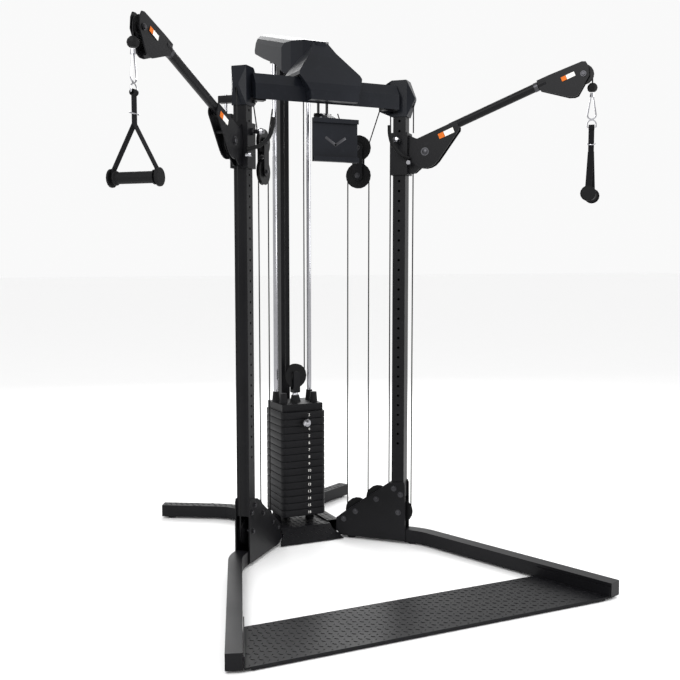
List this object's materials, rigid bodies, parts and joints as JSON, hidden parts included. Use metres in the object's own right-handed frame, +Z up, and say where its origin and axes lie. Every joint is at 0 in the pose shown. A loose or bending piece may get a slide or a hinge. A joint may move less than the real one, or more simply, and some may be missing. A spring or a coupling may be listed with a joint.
{
  "type": "cable crossover machine",
  "caption": "Black cable crossover machine: two adjustable swing arms with handles, diagonal columns, a central weight stack and a V-shaped base with step plate.",
  "frame": {"origin": "on the floor, in the middle of the machine's box", "axes": "+Z up, -Y towards the user, +X to the user's right when facing the machine"},
  "size_m": [1.8146, 1.6614, 2.0559],
  "materials": {
    "frame_paint": "semi-gloss black powder coat",
    "cover_plastic": "moulded, satin charcoal",
    "pulley_nylon": "glass-filled nylon, black",
    "chrome": "polished",
    "plate_iron": "black enamel",
    "cable_black": "nylon jacket over steel rope",
    "rubber": "moulded",
    "webbing": "woven polyester strap"
  },
  "bodies": {
    "frame": {"left_column": "frame_paint", "right_column": "frame_paint", "left_base": "frame_paint", "right_base": "frame_paint", "step_plate": "frame_paint", "rear_base": "frame_paint", "rear_upright": "frame_paint", "left_guide_rod": "chrome", "right_guide_rod": "chrome", "top_frame": "frame_paint", "top_cover": "cover_plastic", "hood": "cover_plastic", "lower_weights": "plate_iron", "left_riser_cable": "cable_black", "right_riser_cable": "cable_black", "left_lower_loop_cable": "cable_black", "right_lower_loop_cable": "cable_black", "left_column_cable": "cable_black", "right_column_cable": "cable_black", "left_upper_loop_cable": "cable_black", "right_upper_loop_cable": "cable_black", "stack_cable": "cable_black"},
    "lift": {"lifted_weights": "plate_iron", "head_plate": "plate_iron"},
    "stack_wheel": {"stack_pulley": "pulley_nylon"},
    "pin": {"selector_pin": "chrome"},
    "tray": {"tablet_tray": "cover_plastic"},
    "left_carriage_body": {"left_carriage": "frame_paint"},
    "left_pop_pin": {"left_carriage_pin": "chrome"},
    "left_pivot_wheel": {"left_pivot_pulley": "pulley_nylon"},
    "left_arm_body": {"left_arm": "frame_paint"},
    "left_head_body": {"left_arm_head": "frame_paint"},
    "left_head_wheel": {"left_head_pulley": "pulley_nylon"},
    "left_ball": {"left_ball_stop": "rubber"},
    "left_handle": {"left_clip": "chrome", "left_strap": "webbing"},
    "left_grip_body": {"left_grip": "rubber"},
    "left_block_body": {"left_block": "frame_paint"},
    "left_block_upper_wheel": {"left_block_upper_pulley": "pulley_nylon"},
    "left_block_lower_wheel": {"left_block_lower_pulley": "pulley_nylon"},
    "left_base_wheel": {"left_base_pulley": "pulley_nylon"},
    "left_front_gusset_wheel": {"left_front_gusset_pulley": "pulley_nylon"},
    "left_rear_gusset_wheel": {"left_rear_gusset_pulley": "pulley_nylon"},
    "right_carriage_body": {"right_carriage": "frame_paint"},
    "right_pop_pin": {"right_carriage_pin": "chrome"},
    "right_pivot_wheel": {"right_pivot_pulley": "pulley_nylon"},
    "right_arm_body": {"right_arm": "frame_paint"},
    "right_head_body": {"right_arm_head": "frame_paint"},
    "right_head_wheel": {"right_head_pulley": "pulley_nylon"},
    "right_ball": {"right_ball_stop": "rubber"},
    "right_handle": {"right_clip": "chrome", "right_strap": "webbing"},
    "right_grip_body": {"right_grip": "rubber"},
    "right_block_body": {"right_block": "frame_paint"},
    "right_block_upper_wheel": {"right_block_upper_pulley": "pulley_nylon"},
    "right_block_lower_wheel": {"right_block_lower_pulley": "pulley_nylon"},
    "right_base_wheel": {"right_base_pulley": "pulley_nylon"},
    "right_front_gusset_wheel": {"right_front_gusset_pulley": "pulley_nylon"},
    "right_rear_gusset_wheel": {"right_rear_gusset_pulley": "pulley_nylon"}
  },
  "joints": [
    {"name": "stack_lift", "type": "slide", "parent": "frame", "child": "lift", "axis": [0, 0, 1], "range_m": [0, 0.95], "deforming": ["stack_cable"]},
    {"name": "stack_wheel_spin", "type": "hinge", "parent": "lift", "child": "stack_wheel", "pos_m": [0, 0.3491, 0.655], "axis": [-0.1392, 0.9903, 0], "continuous": true},
    {"name": "selector_pin_pull", "type": "slide", "parent": "lift", "child": "pin", "axis": [0, -1, 0], "range_m": [0, 0.115]},
    {"name": "tray_tilt", "type": "hinge", "parent": "frame", "child": "tray", "pos_m": [0, 0.0691, 1.668], "axis": [1, 0, 0], "range_deg": [-15, 4]},
    {"name": "left_carriage_slide", "type": "slide", "parent": "frame", "child": "left_carriage_body", "axis": [0, 0, -1], "range_m": [-0.0381, 1.1811], "deforming": ["left_riser_cable", "left_column_cable"]},
    {"name": "left_pop_pin_pull", "type": "slide", "parent": "left_carriage_body", "child": "left_pop_pin", "axis": [0.7071, -0.7071, 0], "range_m": [0, 0.012], "stiffness_N_per_m": 600, "springref_m": -0.01},
    {"name": "left_pivot_wheel_spin", "type": "hinge", "parent": "left_carriage_body", "child": "left_pivot_wheel", "pos_m": [-0.39441, -0.02361, 1.543], "axis": [-0.7071, 0.7071, 0], "continuous": true},
    {"name": "left_arm_pivot", "type": "hinge", "parent": "left_carriage_body", "child": "left_arm_body", "pos_m": [-0.39441, -0.02361, 1.543], "axis": [-0.7071, 0.7071, 0], "range_deg": [-80, 30]},
    {"name": "left_head_swivel", "type": "hinge", "parent": "left_arm_body", "child": "left_head_body", "pos_m": [-0.6941, -0.3233, 1.76547], "axis": [-0.6556, -0.6556, 0.3746], "range_deg": [-60, 60]},
    {"name": "left_head_wheel_spin", "type": "hinge", "parent": "left_head_body", "child": "left_head_wheel", "pos_m": [-0.808, -0.4372, 1.79711], "axis": [-0.7071, 0.7071, 0], "continuous": true},
    {"name": "left_handle_pull", "type": "slide", "parent": "left_head_body", "child": "left_ball", "axis": [-0.6556, -0.6556, 0.3746], "range_m": [0, 0.95]},
    {"name": "left_handle_swing", "type": "hinge", "parent": "left_ball", "child": "left_handle", "pos_m": [-0.82992, -0.45912, 1.724], "axis": [-0.7071, 0.7071, 0], "range_deg": [-30, 80]},
    {"name": "left_grip_roll", "type": "hinge", "parent": "left_handle", "child": "left_grip_body", "pos_m": [-0.82992, -0.45912, 1.366], "axis": [-0.7071, 0.7071, 0], "continuous": true},
    {"name": "left_block_slide", "type": "slide", "parent": "frame", "child": "left_block_body", "axis": [0, 0, -1], "range_m": [0, 0.475], "deforming": ["left_lower_loop_cable", "left_upper_loop_cable"]},
    {"name": "left_block_upper_spin", "type": "hinge", "parent": "left_block_body", "child": "left_block_upper_wheel", "pos_m": [-0.19996, 0.17084, 1.569], "axis": [-0.7071, 0.7071, 0], "continuous": true},
    {"name": "left_block_lower_spin", "type": "hinge", "parent": "left_block_body", "child": "left_block_lower_wheel", "pos_m": [-0.19996, 0.17084, 1.461], "axis": [-0.7071, 0.7071, 0], "continuous": true},
    {"name": "left_base_spin", "type": "hinge", "parent": "frame", "child": "left_base_wheel", "pos_m": [-0.32724, 0.04356, 0.127], "axis": [-0.7071, 0.7071, 0], "continuous": true},
    {"name": "left_front_gusset_spin", "type": "hinge", "parent": "frame", "child": "left_front_gusset_wheel", "pos_m": [-0.26218, 0.10862, 0.173], "axis": [-0.7071, 0.7071, 0], "continuous": true},
    {"name": "left_rear_gusset_spin", "type": "hinge", "parent": "frame", "child": "left_rear_gusset_wheel", "pos_m": [-0.19996, 0.17084, 0.115], "axis": [-0.7071, 0.7071, 0], "continuous": true},
    {"name": "right_carriage_slide", "type": "slide", "parent": "frame", "child": "right_carriage_body", "axis": [0, 0, -1], "range_m": [-0.0381, 1.1811], "deforming": ["right_riser_cable", "right_column_cable"]},
    {"name": "right_pop_pin_pull", "type": "slide", "parent": "right_carriage_body", "child": "right_pop_pin", "axis": [-0.7071, -0.7071, 0], "range_m": [0, 0.012], "stiffness_N_per_m": 600, "springref_m": -0.01},
    {"name": "right_pivot_wheel_spin", "type": "hinge", "parent": "right_carriage_body", "child": "right_pivot_wheel", "pos_m": [0.39441, -0.02361, 1.543], "axis": [0.7071, 0.7071, 0], "continuous": true},
    {"name": "right_arm_pivot", "type": "hinge", "parent": "right_carriage_body", "child": "right_arm_body", "pos_m": [0.39441, -0.02361, 1.543], "axis": [-0.7071, -0.7071, 0], "range_deg": [-80, 30]},
    {"name": "right_head_swivel", "type": "hinge", "parent": "right_arm_body", "child": "right_head_body", "pos_m": [0.6941, -0.3233, 1.76547], "axis": [0.6556, -0.6556, 0.3746], "range_deg": [-60, 60]},
    {"name": "right_head_wheel_spin", "type": "hinge", "parent": "right_head_body", "child": "right_head_wheel", "pos_m": [0.808, -0.4372, 1.79711], "axis": [0.7071, 0.7071, 0], "continuous": true},
    {"name": "right_handle_pull", "type": "slide", "parent": "right_head_body", "child": "right_ball", "axis": [0.6556, -0.6556, 0.3746], "range_m": [0, 0.95]},
    {"name": "right_handle_swing", "type": "hinge", "parent": "right_ball", "child": "right_handle", "pos_m": [0.82992, -0.45912, 1.724], "axis": [-0.7071, -0.7071, 0], "range_deg": [-30, 80]},
    {"name": "right_grip_roll", "type": "hinge", "parent": "right_handle", "child": "right_grip_body", "pos_m": [0.82992, -0.45912, 1.366], "axis": [0.7071, 0.7071, 0], "continuous": true},
    {"name": "right_block_slide", "type": "slide", "parent": "frame", "child": "right_block_body", "axis": [0, 0, -1], "range_m": [0, 0.475], "deforming": ["right_lower_loop_cable", "right_upper_loop_cable"]},
    {"name": "right_block_upper_spin", "type": "hinge", "parent": "right_block_body", "child": "right_block_upper_wheel", "pos_m": [0.19996, 0.17084, 1.569], "axis": [0.7071, 0.7071, 0], "continuous": true},
    {"name": "right_block_lower_spin", "type": "hinge", "parent": "right_block_body", "child": "right_block_lower_wheel", "pos_m": [0.19996, 0.17084, 1.461], "axis": [0.7071, 0.7071, 0], "continuous": true},
    {"name": "right_base_spin", "type": "hinge", "parent": "frame", "child": "right_base_wheel", "pos_m": [0.32724, 0.04356, 0.127], "axis": [0.7071, 0.7071, 0], "continuous": true},
    {"name": "right_front_gusset_spin", "type": "hinge", "parent": "frame", "child": "right_front_gusset_wheel", "pos_m": [0.26218, 0.10862, 0.173], "axis": [0.7071, 0.7071, 0], "continuous": true},
    {"name": "right_rear_gusset_spin", "type": "hinge", "parent": "frame", "child": "right_rear_gusset_wheel", "pos_m": [0.19996, 0.17084, 0.115], "axis": [0.7071, 0.7071, 0], "continuous": true}
  ],
  "couplings": [
    {"joint": "left_handle_pull", "follows": "stack_lift", "ratio": 1},
    {"joint": "left_block_slide", "follows": "stack_lift", "ratio": 0.5},
    {"joint": "left_handle_swing", "follows": "left_arm_pivot", "ratio": -1},
    {"joint": "right_handle_pull", "follows": "stack_lift", "ratio": 1},
    {"joint": "right_block_slide", "follows": "stack_lift", "ratio": 0.5},
    {"joint": "right_handle_swing", "follows": "right_arm_pivot", "ratio": -1}
  ]
}
